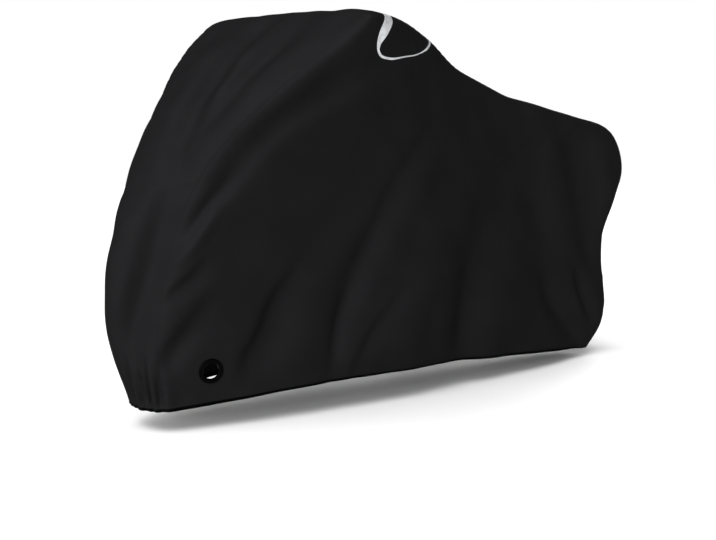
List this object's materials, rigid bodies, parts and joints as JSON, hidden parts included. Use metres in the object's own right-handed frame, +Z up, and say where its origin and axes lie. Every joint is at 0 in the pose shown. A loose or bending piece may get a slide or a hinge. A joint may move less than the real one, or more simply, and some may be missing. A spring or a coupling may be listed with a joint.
{
  "type": "bicycle cover",
  "caption": "Fitted fabric cover for one bicycle, hollow and open below, with an elastic hem, lock eyelets on both sides and a reflective strip.",
  "frame": {"origin": "point under the top on which the cover hangs, at the middle of the handlebar", "axes": "+X towards the rear of the cover, -Y towards its left side, +Z up"},
  "size_m": [2.1322, 0.655, 1.1667],
  "materials": {
    "black_polyester": "satin coated woven polyester",
    "black_plastic": "moulded",
    "silver_tape": "retroreflective woven tape"
  },
  "bodies": {
    "root": {"centre_panel": "black_polyester", "side_panel_left": "black_polyester", "side_panel_right": "black_polyester", "eyelet_left": "black_plastic", "eyelet_right": "black_plastic", "eyelet_washer_left": "black_plastic", "eyelet_washer_right": "black_plastic", "reflective_tape": "silver_tape"}
  },
  "joints": []
}
